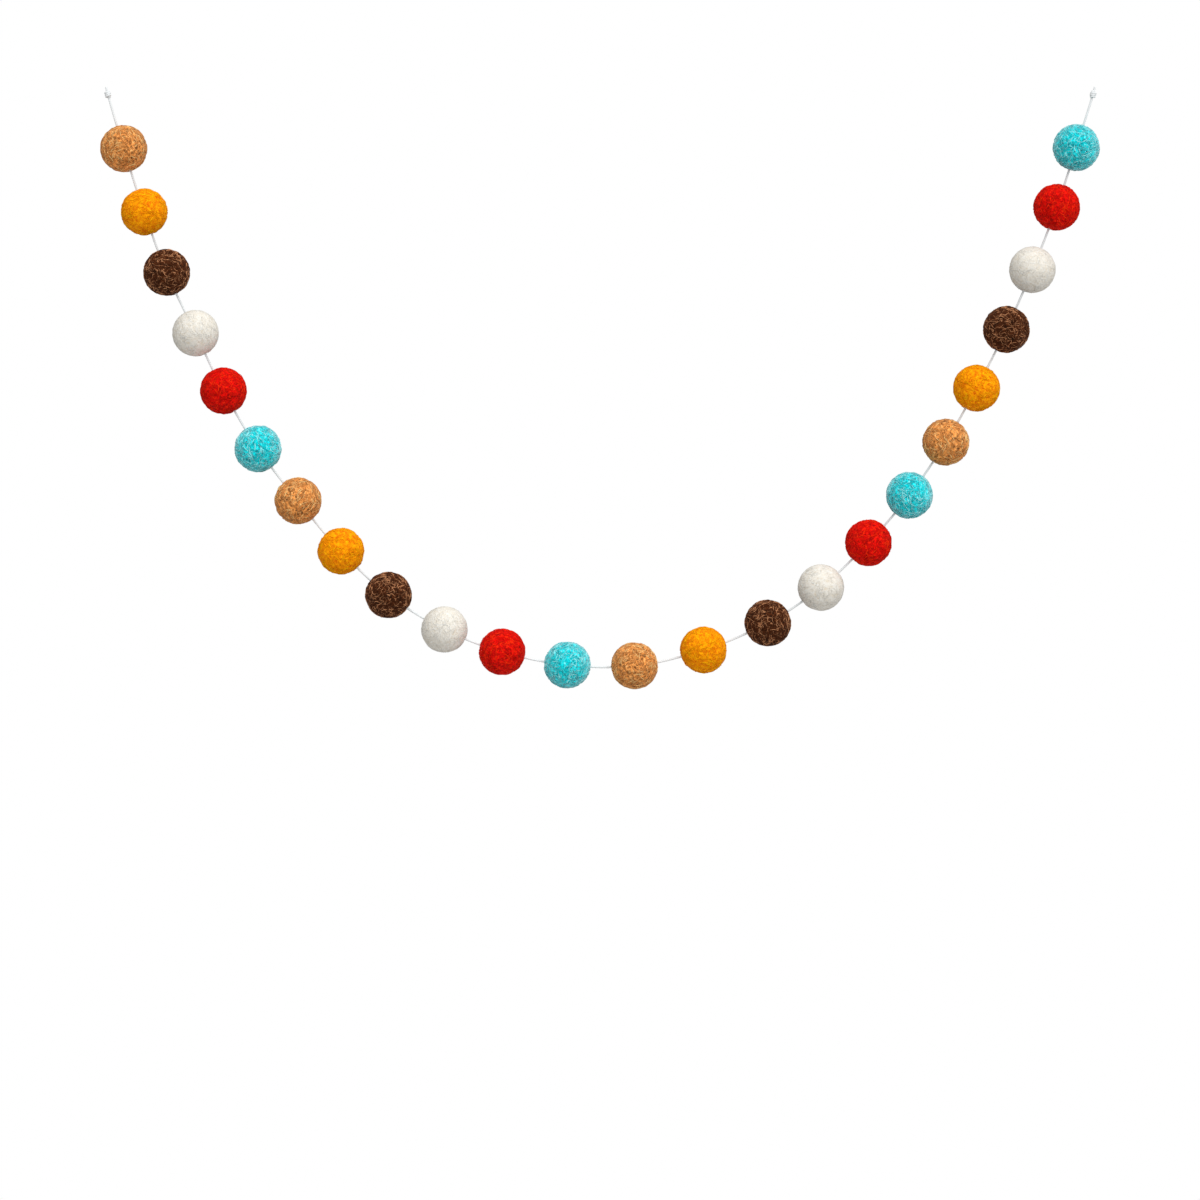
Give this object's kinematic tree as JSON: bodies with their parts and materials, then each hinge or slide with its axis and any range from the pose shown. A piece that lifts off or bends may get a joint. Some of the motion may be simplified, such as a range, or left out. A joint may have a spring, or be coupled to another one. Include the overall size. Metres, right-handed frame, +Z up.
{
  "type": "felt ball garland",
  "caption": "Hanging swag of round felted wool balls in repeating warm and bright colours, threaded on one thin cotton string that is knotted at both ends.",
  "frame": {"origin": "middle of the stopper knot at the string's left end, where the garland is held", "axes": "+X runs to the viewer's right, to the other held end; +Y runs away from the viewer, square to the hanging swag; +Z is up"},
  "size_m": [0.536, 0.0254, 0.3234],
  "materials": {
    "felt_tan": "matte",
    "felt_mustard": "matte",
    "felt_brown": "matte",
    "felt_cream": "matte",
    "felt_red": "matte",
    "felt_aqua": "matte",
    "cotton_string": "matte"
  },
  "bodies": {
    "root": {"string": "cotton_string", "ball_01_tan": "felt_tan", "ball_02_mustard": "felt_mustard", "ball_03_brown": "felt_brown", "ball_04_cream": "felt_cream", "ball_05_red": "felt_red", "ball_06_aqua": "felt_aqua", "ball_07_tan": "felt_tan", "ball_08_mustard": "felt_mustard", "ball_09_brown": "felt_brown", "ball_10_cream": "felt_cream", "ball_11_red": "felt_red", "ball_12_aqua": "felt_aqua", "ball_13_tan": "felt_tan", "ball_14_mustard": "felt_mustard", "ball_15_brown": "felt_brown", "ball_16_cream": "felt_cream", "ball_17_red": "felt_red", "ball_18_aqua": "felt_aqua", "ball_19_tan": "felt_tan", "ball_20_mustard": "felt_mustard", "ball_21_brown": "felt_brown", "ball_22_cream": "felt_cream", "ball_23_red": "felt_red", "ball_24_aqua": "felt_aqua", "knot_left": "cotton_string", "knot_right": "cotton_string"}
  },
  "joints": []
}
